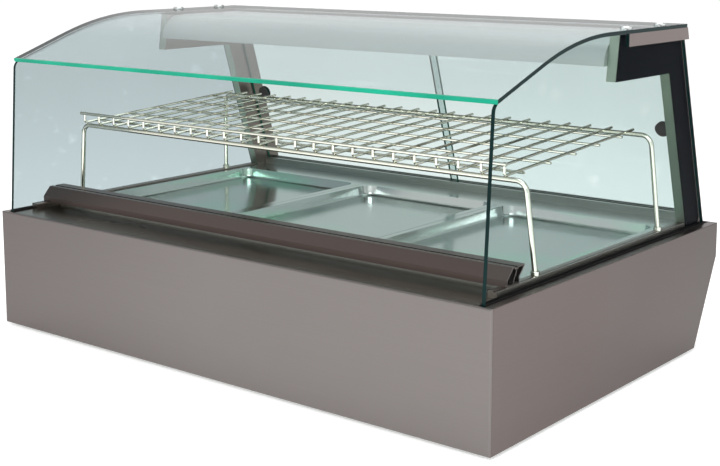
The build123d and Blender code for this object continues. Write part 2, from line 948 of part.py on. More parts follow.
# Reflector: a trough on the canopy's lips
reflector_half = canopy_half - canopy_sheet - seam
reflector_low = canopy_z + canopy_sheet
reflector_y = canopy_y + canopy_sheet + seam
reflector_end = canopy_end - canopy_sheet - seam
trough = [
    (reflector_y, reflector_low),
    (reflector_y + canopy_lip + reflector_lap, reflector_low),
    (reflector_y + canopy_lip + reflector_lap + reflector_slope, reflector_low + reflector_lift),
    (reflector_end - canopy_lip - reflector_slope, reflector_low + reflector_lift),
    (reflector_end - canopy_lip, reflector_low),
    (reflector_end, reflector_low),
]
with BuildPart() as reflector:
    with BuildSketch(Plane.YZ.offset(-reflector_half)):
        with BuildLine():
            Polyline(*trough, *[(y, z + reflector_sheet) for y, z in reversed(trough)], close=True)
        make_face()
    extrude(amount=2 * reflector_half)
save(reflector, "reflector")

# Heat tubes in a row along the canopy, and their ceramic holders
trough_roof = reflector_low + reflector_lift
heat_y = canopy_y + heat_tube_place
heat_z = trough_roof - holder_wall - heat_tube_radius - holder_wall
heat_middles = [step * heat_tube_pitch for step in (-1, 0, 1)]
with BuildPart() as heat_tubes:
    for middle in heat_middles:
        with BuildSketch(Plane.YZ.offset(middle - heat_tube_length / 2)):
            with Locations((heat_y, heat_z)):
                Circle(heat_tube_radius)
        extrude(amount=heat_tube_length)
save(heat_tubes, "heat_tubes")

holder_starts = [
    middle + side * (heat_tube_length / 2 - holder_length / 2) - holder_length / 2
    for middle in heat_middles
    for side in (-1, 1)
]
with BuildPart() as tube_holders:
    for start in holder_starts:
        slab(
            (start, start + holder_length),
            (heat_y - holder_width / 2, heat_y + holder_width / 2),
            (heat_z - heat_tube_radius - holder_wall, trough_roof),
        )
        with BuildSketch(Plane.YZ.offset(start)):
            with Locations((heat_y, heat_z)):
                Circle(heat_tube_radius + tube_fit)
        extrude(amount=holder_length, mode=Mode.SUBTRACT)
save(tube_holders, "tube_holders")

# Light tube and its end holders
light_y = canopy_y + light_place
light_z = trough_roof - light_radius - light_cap_wall - light_gap
light_half = reflector_half - light_cap
with BuildPart() as light_tube:
    with BuildSketch(Plane.YZ.offset(-light_half)):
        with Locations((light_y, light_z)):
            Circle(light_radius)
    extrude(amount=2 * light_half)
save(light_tube, "light_tube")

with BuildPart() as light_holders:
    for side in (-1, 1):
        socket_face = side * (light_half - light_cap / 2)
        slab(
            sorted((socket_face, side * (light_half + light_cap / 2))),
            (light_y - light_radius - light_cap_wall, light_y + light_radius + light_cap_wall),
            (light_z - light_radius - light_cap_wall, trough_roof),
        )
        with BuildSketch(Plane.YZ.offset(socket_face)):
            with Locations((light_y, light_z)):
                Circle(light_radius + tube_fit)
        extrude(amount=side * light_cap / 2, mode=Mode.SUBTRACT)
save(light_holders, "light_holders")

# Door planes, tracks, doors with shoes, and finger pulls
lean_cos = cos(radians(lean))
glass_across = door_glass / lean_cos
groove_across = (door_glass + 2 * shoe_wall + 2 * track_play) / lean_cos
door_lines = {"left": door_setback, "right": door_setback - door_pitch}
track_half = upright_in - end_gap


def leaning_strip(low, high, middle_line, across):
    """A four-sided section that leans with the doors."""
    Polyline(
        (leaning(middle_line, low) - across / 2, low),
        (leaning(middle_line, low) + across / 2, low),
        (leaning(middle_line, high) + across / 2, high),
        (leaning(middle_line, high) - across / 2, high),
        close=True,
    )


track_end = door_setback - door_pitch - groove_across / 2 - track_back_wall
track_y = back - track_setback
bottom_track_top = plateau + track_height
groove_foot = plateau + track_floor
with BuildPart() as bottom_track:
    with BuildSketch(Plane.YZ.offset(-track_half)):
        with BuildLine():
            Polyline(
                (track_y, plateau),
                (leaning(track_end, plateau), plateau),
                (leaning(track_end, bottom_track_top), bottom_track_top),
                (track_y, bottom_track_top),
                close=True,
            )
        make_face()
    extrude(amount=2 * track_half)
    for line in door_lines.values():
        with BuildSketch(Plane.YZ.offset(-track_half)):
            with BuildLine():
                leaning_strip(groove_foot, bottom_track_top + cut_over, line, groove_across)
            make_face()
        extrude(amount=2 * track_half, mode=Mode.SUBTRACT)
    hollow_back = leaning(door_setback, plateau) - groove_across / 2 - 2 * rail_wall
    slab(
        (-track_half, track_half),
        (track_y + rail_wall, hollow_back - rail_wall),
        (plateau, bottom_track_top - rail_wall),
        Mode.SUBTRACT,
    )
save(bottom_track, "bottom_track")

top_track_foot = glass_under - bond - top_track_height
top_track_top = glass_under - bond
groove_roof = top_track_top - top_track_roof
with BuildPart() as top_track:
    start_line = door_setback + groove_across / 2 + top_track_front_wall
    with BuildSketch(Plane.YZ.offset(-track_half)):
        with BuildLine():
            leaning_strip(
                top_track_foot, top_track_top, (start_line + track_end) / 2, start_line - track_end
            )
        make_face()
    extrude(amount=2 * track_half)
    for line in door_lines.values():
        with BuildSketch(Plane.YZ.offset(-track_half)):
            with BuildLine():
                leaning_strip(top_track_foot - cut_over, groove_roof, line, groove_across)
            make_face()
        extrude(amount=2 * track_half, mode=Mode.SUBTRACT)
save(top_track, "top_track")

shoe_foot = groove_foot + shoe_gap
door_foot = shoe_foot + shoe_wall
door_head = groove_roof - door_head_gap
door_half = upright_in - door_side_gap
pull_height = deck_top + pull_rise
door_edges = {"left": (-door_half, door_overlap), "right": (-door_overlap, door_half)}
pull_places = {"left": -door_half + pull_inset, "right": door_half - pull_inset}
lean_normal = (0, lean_cos, sin(radians(lean)))
for hand in ("left", "right"):
    line = door_lines[hand]
    edge_low, edge_high = door_edges[hand]
    pull_plane = Plane(
        origin=(pull_places[hand], leaning(line, pull_height), pull_height),
        x_dir=(1, 0, 0),
        z_dir=lean_normal,
    )
    with BuildPart() as door:
        with BuildSketch(Plane.YZ.offset(edge_low)):
            with BuildLine():
                leaning_strip(door_foot, door_head, line, glass_across)
            make_face()
        extrude(amount=edge_high - edge_low)
        with BuildSketch(pull_plane):
            Circle(pull_body_radius + tube_fit)
        extrude(amount=door_glass, both=True, mode=Mode.SUBTRACT)
    save(door, f"door_{hand}")

    with BuildPart() as door_shoe:
        shoe_across = glass_across + 2 * shoe_wall / lean_cos
        with BuildSketch(Plane.YZ.offset(edge_low)):
            with BuildLine():
                leaning_strip(shoe_foot, shoe_foot + shoe_height, line, shoe_across)
            make_face()
            with BuildLine():
                leaning_strip(door_foot, shoe_foot + shoe_height, line, glass_across)
            make_face(mode=Mode.SUBTRACT)
        extrude(amount=edge_high - edge_low)
    save(door_shoe, f"door_shoe_{hand}")

    with BuildPart() as door_pull:
        with BuildSketch(pull_plane.offset(-door_glass / 2 - pull_flange)):
            Circle(pull_flange_radius)
        extrude(amount=pull_flange)
        with BuildSketch(pull_plane.offset(door_glass / 2)):
            Circle(pull_flange_radius)
        extrude(amount=pull_flange)
        with BuildSketch(pull_plane.offset(-door_glass / 2)):
            Circle(pull_body_radius)
        extrude(amount=door_glass)
        with BuildSketch(pull_plane.offset(door_glass / 2 + pull_flange)):
            Circle(pull_cup_radius)
        extrude(amount=-(door_glass + 2 * pull_flange - pull_floor), mode=Mode.SUBTRACT)
    save(door_pull, f"door_pull_{hand}")

# Leg sockets: round cups on the side clamps
clamp_middle = (clamp_in + clamp_out) / 2
foot_lines = (front + front_foot_line, back - back_foot_setback)
with BuildPart() as leg_sockets:
    for side in (-1, 1):
        for y in foot_lines:
            with BuildSketch(Plane.XY.offset(clamp_top)):
                with Locations((side * clamp_middle, y)):
                    Circle(socket_radius)
            extrude(amount=socket_height)
    chamfer(leg_sockets.edges().group_by(Axis.Z)[-1], length=(socket_radius - rod_radius) / 4)
    for side in (-1, 1):
        for y in foot_lines:
            with BuildSketch(Plane.XY.offset(clamp_top + socket_height)):
                with Locations((side * clamp_middle, y)):
                    Circle(rod_radius + socket_play)
            extrude(amount=socket_floor - socket_height, mode=Mode.SUBTRACT)
save(leg_sockets, "leg_sockets")

# Rack rods: two inverted-U legs, each bent from one round bar
rod_foot = clamp_top + socket_floor + foot_play
front_rod_half = clamp_middle - front_rod_splay
back_rod_half = clamp_middle - back_rod_splay
rods = (
    ("rack_rod_front", front_rod_half, front + front_rod_line, front_rod_rise, foot_lines[0]),
    ("rack_rod_back", back_rod_half, back - back_rod_setback, back_rod_rise, foot_lines[1]),
)
for name, top_half, top_y, top_height, feet_y in rods:
    rod_top = deck_top + top_height
    with BuildPart() as rack_rod:
        with BuildLine() as rod_path:
            FilletPolyline(
                (-clamp_middle, feet_y, rod_foot),
                (-top_half, top_y, rod_top),
                (top_half, top_y, rod_top),
                (clamp_middle, feet_y, rod_foot),
                radius=rod_bend,
            )
        with BuildSketch(Plane(origin=rod_path.line @ 0, z_dir=rod_path.line % 0)):
            Circle(rod_radius)
        sweep(path=rod_path.line)
    save(rack_rod, name)

# Rack grid: bent lengthwise wires on cross wires, with a raised front edge
wire_lift = rod_radius + wire_radius + rod_gap
grid_start = (front + front_rod_line, deck_top + front_rod_rise + wire_lift)
grid_end = (back - back_rod_setback, deck_top + back_rod_rise + wire_lift)
grid_slope = (grid_end[1] - grid_start[1]) / (grid_end[0] - grid_start[0])


def grid_level(y, drop=0.0):
    """Height of the lengthwise wires' centre line at a given Y, less a drop."""
    return grid_start[1] + (y - grid_start[0]) * grid_slope - drop


fence_y = front + fence_line
fence_top = grid_level(fence_y) + fence_rise
wire_end = grid_end[0] + wire_back_reach
wire_left = wire_left_margin - front_rod_half
wire_pitch = (2 * front_rod_half - wire_left_margin - wire_right_margin) / (wire_count - 1)
wire_xs = [wire_left + step * wire_pitch for step in range(wire_count)]
cross_drop = wire_radius + cross_radius - weld
cross_run = grid_end[0] - grid_start[0] - cross_front_margin - cross_back_margin
cross_pitch = cross_run / (cross_count - 1)
cross_ys = [grid_start[0] + cross_front_margin + step * cross_pitch for step in range(cross_count)]
with BuildPart() as rack_grid:
    with BuildLine(Plane.YZ) as wire_path:
        FilletPolyline(
            (fence_y, fence_top),
            (fence_y, grid_level(fence_y)),
            (wire_end, grid_level(wire_end)),
            radius=fence_bend,
        )
    wire_start = Plane(origin=wire_path.line @ 0, z_dir=wire_path.line % 0)
    with BuildSketch(wire_start, mode=Mode.PRIVATE) as wire_face:
        RegularPolygon(wire_radius, wire_sides, major_radius=False, rotation=180 / wire_sides)
    wire = sweep(wire_face.sketch, path=wire_path.line, mode=Mode.PRIVATE)
    crosses = []
    rows = [(y, grid_level(y, cross_drop), cross_radius) for y in cross_ys]
    rows.append((fence_y - wire_radius - fence_radius + weld, fence_top - fence_radius, fence_radius))
    for y, z, radius in rows:
        with BuildSketch(Plane.YZ.offset(wire_xs[0] - cross_reach), mode=Mode.PRIVATE) as cross_face:
            with Locations((y, z)):
                RegularPolygon(radius, wire_sides, major_radius=False, rotation=180 / wire_sides)
        crosses.append(
            extrude(cross_face.sketch, amount=wire_xs[-1] - wire_xs[0] + 2 * cross_reach, mode=Mode.PRIVATE)
        )
    add([*crosses, *[Pos(x, 0, 0) * wire for x in wire_xs]])
save(rack_grid, "rack_grid")

# Thermostat behind the fascia, its shaft and its knob
stat_face = back - sheet
with BuildPart() as thermostat:
    slab(
        (knob_place - stat_size / 2, knob_place + stat_size / 2),
        (stat_face - stat_depth, stat_face),
        (fascia_middle - stat_size / 2, fascia_middle + stat_size / 2),
    )
    with BuildSketch(fascia_plane.offset(-bushing_proud)):
        with Locations((knob_place, fascia_middle)):
            Circle(bushing_radius)
    extrude(amount=bushing_proud + sheet)
    with BuildSketch(fascia_plane.offset(-bushing_proud)):
        with Locations((knob_place, fascia_middle)):
            Circle(shaft_radius + shaft_fit)
    extrude(amount=bushing_proud + sheet + shaft_length, mode=Mode.SUBTRACT)
save(thermostat, "thermostat")

knob_root = back + knob_gap
bore_depth = knob_height - knob_skirt
with BuildPart() as thermostat_shaft:
    with BuildSketch(fascia_plane.offset(-knob_gap - bore_depth)):
        with Locations((knob_place, fascia_middle)):
            Circle(shaft_radius)
    extrude(amount=knob_gap + bore_depth + sheet + shaft_length - shaft_end_play)
save(thermostat_shaft, "thermostat_shaft")

with BuildPart() as thermostat_knob:
    with BuildSketch(fascia_plane.offset(-knob_gap)):
        with Locations((knob_place, fascia_middle)):
            Circle(knob_radius)
    extrude(amount=-knob_skirt)
    with BuildSketch(fascia_plane.offset(-knob_gap - knob_skirt)):
        with Locations((knob_place, fascia_middle)):
            Circle(knob_grip_radius)
    extrude(amount=knob_skirt - knob_height, taper=knob_draft)
    chamfer(thermostat_knob.edges().group_by(Axis.Y)[-1], length=knob_skirt / 4)
    for side in (-1, 1):
        far_side = sorted(
            (knob_place + side * knob_grip / 2, knob_place + side * (knob_radius + cut_over))
        )
        slab(
            far_side,
            (knob_root + knob_skirt + knob_grip_foot, knob_root + knob_height),
            (fascia_middle - knob_radius, fascia_middle + knob_radius),
            Mode.SUBTRACT,
        )
    with BuildSketch(fascia_plane.offset(-knob_gap)):
        with Locations((knob_place, fascia_middle)):
            Circle(bushing_radius + bushing_room)
    extrude(amount=-bushing_proud, mode=Mode.SUBTRACT)
    with BuildSketch(fascia_plane.offset(-knob_gap)):
        with Locations((knob_place, fascia_middle)):
            Circle(shaft_radius)
    extrude(amount=-bore_depth, mode=Mode.SUBTRACT)
save(thermostat_knob, "thermostat_knob")

# Pilot lamp
with BuildPart() as pilot_lamp:
    with BuildSketch(fascia_plane):
        with Locations((lamp_place, fascia_middle)):
            Circle(lamp_radius)
    extrude(amount=-lamp_proud, taper=lamp_draft)
    chamfer(pilot_lamp.edges().group_by(Axis.Y)[-1], length=lamp_proud / 4)
    with BuildSketch(fascia_plane):
        with Locations((lamp_place, fascia_middle)):
            Circle(lamp_hole)
    extrude(amount=switch_body_depth)
save(pilot_lamp, "pilot_lamp")

# Switch housings: rimmed frames with a pivot pin across each
throat = (switch_width - 2 * switch_throat_inset, switch_height - 2 * switch_throat_inset)
body_half = (switch_width / 2 - switch_body_inset, switch_height / 2 - switch_body_inset)
pivot_y = back - rocker_depth / 2
with BuildPart() as switch_housings:
    for x in switch_places:
        slab(
            (x - switch_width / 2, x + switch_width / 2),
            (back, back + switch_bezel),
            (fascia_middle - switch_height / 2, fascia_middle + switch_height / 2),
        )
        slab(
            (x - body_half[0], x + body_half[0]),
            (back - switch_body_depth, back),
            (fascia_middle - body_half[1], fascia_middle + body_half[1]),
        )
    for x in switch_places:
        slab(
            (x - throat[0] / 2, x + throat[0] / 2),
            (back - switch_throat_depth, back + switch_bezel),
            (fascia_middle - throat[1] / 2, fascia_middle + throat[1] / 2),
            Mode.SUBTRACT,
        )
    for x in switch_places:
        with BuildSketch(Plane.YZ.offset(x - throat[0] / 2 - pivot_seat)):
            with Locations((pivot_y, fascia_middle)):
                Circle(rocker_pivot_radius)
        extrude(amount=throat[0] + 2 * pivot_seat)
save(switch_housings, "switch_housings")

# Rockers: vee-topped keys on their pivots, resting with the lower half in
rocker_half = throat[0] / 2 - switch_fit
rocker_reach = throat[1] / 2 - 2 * switch_fit
rocker_face = rocker_depth / 2 + switch_bezel
for name, x in (("rocker_heat", heat_switch_place), ("rocker_light", light_switch_place)):
    with BuildPart() as rocker:
        rocker_plane = Plane(
            origin=(x - rocker_half, pivot_y, fascia_middle), x_dir=(0, 1, 0), z_dir=(1, 0, 0)
        )
        with BuildSketch(rocker_plane):
            with BuildLine():
                Polyline(
                    (-rocker_depth / 2, rocker_heel - rocker_reach),
                    (rocker_face, -rocker_reach),
                    (rocker_face - rocker_reach * tan(radians(rocker_angle)), 0),
                    (rocker_face, rocker_reach),
                    (-rocker_depth / 2, rocker_reach - rocker_heel),
                    close=True,
                )
            make_face()
            Circle(rocker_pivot_radius + pivot_fit, mode=Mode.SUBTRACT)
        extrude(amount=2 * rocker_half)
    rocker.part.label = name
    pivot = Axis((x, pivot_y, fascia_middle), (1, 0, 0))
    turned = rocker.part.rotate(pivot, rocker_angle)
    turned.label = name
    export_step(turned, f"parts/{name}.step")

# Cable gland on the slanted panel, with an open bore for a lead
with BuildPart() as cable_gland:
    with BuildSketch(slant_plane):
        with Locations((gland_place, gland_drop)):
            RegularPolygon(gland_hex, 6)
    extrude(amount=gland_length / 2)
    with BuildSketch(slant_plane.offset(gland_length / 2)):
        with Locations((gland_place, gland_drop)):
            Circle(gland_radius)
    extrude(amount=gland_length / 2, taper=gland_draft)
    with BuildSketch(slant_plane):
        with Locations((gland_place, gland_drop)):
            Circle(gland_radius)
    extrude(amount=-sheet - gland_length / 2)
    with BuildSketch(slant_plane.offset(gland_length)):
        with Locations((gland_place, gland_drop)):
            Circle(gland_bore)
    extrude(amount=-2 * gland_length - sheet, mode=Mode.SUBTRACT)
save(cable_gland, "cable_gland")

# Terminal block on the floor near the gland
with BuildPart() as terminal_block:
    block_back = floor_back - 3 * sheet - post_leg
    slab(
        (gland_place - terminal_length / 2, gland_place + terminal_length / 2),
        (block_back - terminal_width, block_back),
        (floor + sheet, floor + sheet + terminal_height),
    )
    with BuildSketch(Plane.XY.offset(floor + sheet + terminal_height)):
        with Locations((gland_place, block_back - terminal_width / 2)):
            with GridLocations(terminal_length / terminal_ways, 0, terminal_ways, 1):
                Circle(screw_shank_radius)
    extrude(amount=-terminal_height / 2, mode=Mode.SUBTRACT)
save(terminal_block, "terminal_block")

# Screws in the fascia and the slanted panel
with BuildPart() as panel_screws:
    with BuildSketch(fascia_plane):
        with Locations(*fascia_screws):
            Circle(screw_head_radius)
    extrude(amount=-screw_head)
    with BuildSketch(fascia_plane):
        with Locations(*fascia_screws):
            Circle(screw_shank_radius)
    extrude(amount=screw_shank)
    with BuildSketch(slant_plane):
        with Locations(*panel_screws_on_slant):
            Circle(screw_head_radius)
    extrude(amount=screw_head)
    with BuildSketch(slant_plane):
        with Locations(*panel_screws_on_slant):
            Circle(screw_shank_radius)
    extrude(amount=-screw_shank)
save(panel_screws, "panel_screws")
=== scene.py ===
from math import cos, radians, sin

import bpy
from mathutils import Matrix, Vector


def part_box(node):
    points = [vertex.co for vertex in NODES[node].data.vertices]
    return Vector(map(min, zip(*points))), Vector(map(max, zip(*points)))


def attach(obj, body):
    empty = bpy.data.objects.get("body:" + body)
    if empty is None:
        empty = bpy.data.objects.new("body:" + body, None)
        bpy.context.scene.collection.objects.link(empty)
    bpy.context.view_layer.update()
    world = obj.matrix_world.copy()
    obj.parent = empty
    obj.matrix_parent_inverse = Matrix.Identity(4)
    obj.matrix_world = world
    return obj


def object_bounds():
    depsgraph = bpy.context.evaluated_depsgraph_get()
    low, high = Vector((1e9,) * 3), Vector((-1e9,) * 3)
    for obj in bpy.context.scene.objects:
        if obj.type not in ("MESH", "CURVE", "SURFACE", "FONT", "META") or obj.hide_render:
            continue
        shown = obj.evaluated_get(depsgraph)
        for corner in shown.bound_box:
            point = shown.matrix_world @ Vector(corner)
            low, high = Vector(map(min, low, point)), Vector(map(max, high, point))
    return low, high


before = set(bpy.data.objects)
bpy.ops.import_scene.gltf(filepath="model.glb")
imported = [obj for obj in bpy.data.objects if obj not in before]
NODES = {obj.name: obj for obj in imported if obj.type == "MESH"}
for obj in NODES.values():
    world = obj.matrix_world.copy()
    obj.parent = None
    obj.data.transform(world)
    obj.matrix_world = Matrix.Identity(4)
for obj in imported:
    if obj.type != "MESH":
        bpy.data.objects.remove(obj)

# The looks of a heated self-service display. Metres, in the frame of the packed
# model: the customer stands on the -Y side, the server on the +Y side, +Z is up.

CAD_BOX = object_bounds()
CAD_LOW, CAD_HIGH = CAD_BOX

# Camera, as the photograph's lens and place
CAMERA_PLACE = (1.4759, -1.8281, 0.6996)
CAMERA_AZIMUTH = 38.686
CAMERA_ELEVATION = 8.723
CAMERA_REACH = 100.0
IMAGE_WIDTH = 720
FOCAL_PIXELS = 1340.7
SENSOR = 36.0
SHIFT_Y = -0.12

# Colours of the metals, as linear values
CASING_FRONT = (0.190, 0.172, 0.166)
# painted shade: the casing front's darker colour towards its left end
CASING_FRONT_LEFT_SHADE = (0.148, 0.130, 0.126)
CASING_SIDE = (0.142, 0.115, 0.108)
# painted shade: the casing side's darker colour towards the server's side
CASING_SIDE_BACK_SHADE = (0.080, 0.064, 0.060)
# the deck's front ledge: taupe sheet, painted darker as shade and reflection under the rail
DECK_LEDGE_TAUPE_AND_SHADE = (0.21, 0.185, 0.155)
DECK_STEEL = (0.50, 0.56, 0.54)
PLAIN_STEEL = (0.52, 0.54, 0.52)
WELL_STEEL = (0.55, 0.57, 0.55)
PAN_STEEL = (0.46, 0.505, 0.49)
# painted green reflection, laid in patches on the pans
MINT_REFLECTION = (0.30, 0.62, 0.46)
TRACK_GREY = (0.30, 0.33, 0.31)
RAIL_BROWN = (0.112, 0.088, 0.081)
CLAMP_TAUPE = (0.22, 0.195, 0.175)
BRACKET_TAUPE = (0.215, 0.18, 0.17)
CANOPY_GREY = (0.38, 0.415, 0.40)
UPRIGHT_TAUPE = (0.20, 0.165, 0.145)
UPRIGHT_SAGE = (0.27, 0.33, 0.27)
WIRE_BRIGHT = (0.95, 0.96, 0.83)
# painted shade on the wires' rims
WIRE_RIM_SHADE = (0.12, 0.105, 0.075)
CAP_BRIGHT = (0.9, 0.93, 0.92)
# painted shade on the caps' rims
CAP_RIM_SHADE = (0.35, 0.38, 0.37)
SHAFT_BRASS = (0.72, 0.53, 0.25)
SHEATH_GREY = (0.12, 0.11, 0.10)

# Colours of the plastics, the fibre and the prints
MASK_BLACK = (0.003, 0.0038, 0.006)
RUBBER_BLACK = (0.010, 0.009, 0.009)
CONTROL_BLACK = (0.03, 0.03, 0.032)
PULL_BROWN = (0.045, 0.040, 0.038)
ROCKER_BLACK = (0.022, 0.022, 0.024)
SHOE_GREY = (0.35, 0.36, 0.35)
CERAMIC_WHITE = (0.75, 0.74, 0.70)
LENS_AMBER = (0.75, 0.22, 0.03)
FIBRE_YELLOW = (0.50, 0.43, 0.24)
PRINT_WHITE = (0.82, 0.82, 0.79)
PRINT_DARK = (0.04, 0.04, 0.042)

# Colours of the glass, the lamps and the studio
# The left side pane is tinted darker than the right one, as painted shade on the same glass
LEFT_TINT_SHADED = (0.645, 0.70, 0.71)
RIGHT_TINT = (0.93, 0.955, 0.955)
TOP_TINT = (0.90, 0.935, 0.94)
DOOR_TINT = (0.77, 0.825, 0.815)
GLASS_GREEN = (0.004, 0.26, 0.16)
GLASS_TEAL = (0.002, 0.014, 0.014)
QUARTZ_WARM = (0.95, 0.82, 0.70)
OPAL_WHITE = (0.97, 0.98, 0.96)
FLOOR_WHITE = (0.93, 0.93, 0.93)
ZENITH_GREY = (0.55, 0.55, 0.55)
WHITE = (1.0, 1.0, 1.0)

# How often noise repeats in a metre along each axis
EVENLY = (1.0, 1.0, 1.0)
ALONG_X = (3.0, 420.0, 420.0)
ALONG_Y = (420.0, 3.0, 420.0)
ALONG_Z = (420.0, 420.0, 3.0)


# Small helpers for node trees
SOFT_DETAIL = 2.0
FACE_LIMIT = 0.5
EVEN_BLEND = 0.5


def start_material(name):
    """A new material with an empty tree and its output."""
    material = bpy.data.materials.new(name)
    material.use_nodes = True
    tree = material.node_tree
    tree.nodes.clear()
    output = tree.nodes.new("ShaderNodeOutputMaterial")
    return material, tree, output


def add_node(tree, kind, inputs=(), **settings):
    """A node with its settings and its socket values."""
    made = tree.nodes.new(kind)
    for name, value in settings.items():
        setattr(made, name, value)
    for name, value in dict(inputs).items():
        made.inputs[name].default_value = value
    return made


def join(tree, source, output, target, socket):
    """A link from one node's output to another's input."""
    tree.links.new(source.outputs[output], target.inputs[socket])


def colour(rgb):
    """A colour with full alpha."""
    return (*rgb, 1.0)


def scaled(rgb, factor):
    """A colour made darker or lighter, held within white."""
    return tuple(min(1.0, value * factor) for value in rgb)


def noise_along(tree, stretch, scale=1.0, detail=SOFT_DETAIL):
    """Noise on the object's own coordinates, drawn out along an axis or even."""
    place = add_node(tree, "ShaderNodeTexCoord")
    mapping = add_node(tree, "ShaderNodeMapping", {"Scale": stretch})
    noise = add_node(tree, "ShaderNodeTexNoise", {"Scale": scale, "Detail": detail})
    join(tree, place, "Object", mapping, "Vector")
    join(tree, mapping, "Vector", noise, "Vector")
    return noise


def ranged(tree, source, output, low, high, start=0.0, end=1.0):
    """The source's range from start to end spread over a new range."""
    ends = {"From Min": start, "From Max": end, "To Min": low, "To Max": high}
    spread = add_node(tree, "ShaderNodeMapRange", ends)
    join(tree, source, output, spread, "Value")
    return spread


def blended(tree, factor, factor_output, first, second):
    """Two colours, or a colour and another mix, mixed by a factor."""
    mix = add_node(tree, "ShaderNodeMix", data_type="RGBA")
    for socket, value in (("A", first), ("B", second)):
        if isinstance(value, tuple):
            mix.inputs[socket].default_value = colour(value)
        else:
            tree.links.new(value.outputs["Result"], mix.inputs[socket])
    join(tree, factor, factor_output, mix, "Factor")
    return mix


def toned(tree, noise, base, tone):
    """A colour that goes a little darker and lighter with a noise."""
    return blended(tree, noise, "Fac", scaled(base, 1.0 - tone), scaled(base, 1.0 + tone))


def mask_output(mask):
    """The name of a mask's output, which differs between kinds of node."""
    return "Result" if "Result" in mask.outputs else "Value"


def along_axis(tree, axis, start, end):
    """0 before start and 1 after end on one of the object's axes."""
    place = add_node(tree, "ShaderNodeTexCoord")
    parts = add_node(tree, "ShaderNodeSeparateXYZ")
    join(tree, place, "Object", parts, "Vector")
    return ranged(tree, parts, axis, 0.0, 1.0, start, end)


def turned_along_x(tree):
    """1 where a face is turned along X, either way."""
    shape = add_node(tree, "ShaderNodeNewGeometry")
    parts = add_node(tree, "ShaderNodeSeparateXYZ")
    size = add_node(tree, "ShaderNodeMath", operation="ABSOLUTE")
    test = add_node(tree, "ShaderNodeMath", {1: FACE_LIMIT}, operation="GREATER_THAN")
    join(tree, shape, "True Normal", parts, "Vector")
    join(tree, parts, "X", size, 0)
    join(tree, size, "Value", test, 0)
    return test


# Metal finishes
BRUSH_DETAIL = 4.0
BRUSH_DEPTH = 0.0004
SMUDGE_SCALE = 5.0
SMUDGE_SPREAD = 0.04
# Patches of painted reflection on brushed metal
REFLECTION_STRETCH = (5.0, 5.0, 30.0)
REFLECTION_DETAIL = 1.0
REFLECTION_SHARE = 0.55
REFLECTION_START = 0.52
REFLECTION_END = 0.68
TWO_TONE = 0.04
TWO_TONE_RELIEF = 0.05
WIRE_SCALE = 60.0
WIRE_SHADE = 0.85
WIRE_RIM_START = 0.22
WIRE_RIM_END = 0.62
WIRE_ROUGHNESS = 0.14
WIRE_RELIEF = 0.02


def metal_shader(tree, paint, lines, roughness, spread, metallic, relief):
    """A metal's shader: its paint, its smudged roughness and its brush lines."""
    shader = add_node(tree, "ShaderNodeBsdfPrincipled", {"Metallic": metallic})
    cloud = noise_along(tree, EVENLY, SMUDGE_SCALE)
    rough = ranged(tree, cloud, "Fac", roughness - spread, roughness + spread)
    bump = add_node(tree, "ShaderNodeBump", {"Strength": relief, "Distance": BRUSH_DEPTH})
    join(tree, lines, "Fac", bump, "Height")
    join(tree, paint, "Result", shader, "Base Color")
    join(tree, rough, "Result", shader, "Roughness")
    join(tree, bump, "Normal", shader, "Normal")
    return shader


def brushed_metal(name, base, grain, roughness, spread=SMUDGE_SPREAD, tone=0.05, metallic=1.0,
                  relief=0.06, tint=None):
    """Metal with fine brush lines along the grain, with patches of painted reflection in the tint
    where a tint is given.
    """
    material, tree, output = start_material(name)
    lines = noise_along(tree, grain, detail=BRUSH_DETAIL)
    paint = toned(tree, lines, base, tone)
    if tint:
        reflection_patches = noise_along(tree, REFLECTION_STRETCH, detail=REFLECTION_DETAIL)
        share = ranged(tree, reflection_patches, "Fac", 0.0, REFLECTION_SHARE, REFLECTION_START, REFLECTION_END)
        paint = blended(tree, share, "Result", paint, tint)
    shader = metal_shader(tree, paint, lines, roughness, spread, metallic, relief)
    join(tree, shader, "BSDF", output, "Surface")
    return material


def two_tone_metal(name, base, masked, mask, grain, roughness, metallic=1.0):
    """Brushed metal in two colours, the second where a mask made in its tree is 1: two-tone metal
    on some parts, painted shade on others.
    """
    material, tree, output = start_material(name)
    lines = noise_along(tree, grain, detail=BRUSH_DETAIL)
    factor = mask(tree)
    first = toned(tree, lines, base, TWO_TONE)
    second = toned(tree, lines, masked, TWO_TONE)
    paint = blended(tree, factor, mask_output(factor), first, second)
    shader = metal_shader(tree, paint, lines, roughness, SMUDGE_SPREAD, metallic, TWO_TONE_RELIEF)
    join(tree, shader, "BSDF", output, "Surface")
    return material


def polished_wire(name, bright, rim_shade):
    """Round polished wire: bright along the middle, with painted shade that darkens it towards
    its rims.
    """
    material, tree, output = start_material(name)
    facing = add_node(tree, "ShaderNodeLayerWeight", {"Blend": EVEN_BLEND})
    rim = ranged(tree, facing, "Facing", 0.0, 1.0, WIRE_RIM_START, WIRE_RIM_END)
    cloud = noise_along(tree, EVENLY, WIRE_SCALE)
    middle = blended(tree, cloud, "Fac", scaled(bright, WIRE_SHADE), bright)
    # Painted shade: darker where the surface turns away from the view.
    paint = blended(tree, rim, "Result", middle, rim_shade)
    shader = metal_shader(tree, paint, cloud, WIRE_ROUGHNESS, SMUDGE_SPREAD, 1.0, WIRE_RELIEF)
    join(tree, shader, "BSDF", output, "Surface")
    return material


# Plastic, rubber, ceramic and fibre
GRAIN_SCALE = 900.0
GRAIN_DEPTH = 0.0002
GRAIN_SPREAD = 0.06
FADE_SCALE = 14.0
FADE_TONE = 0.12


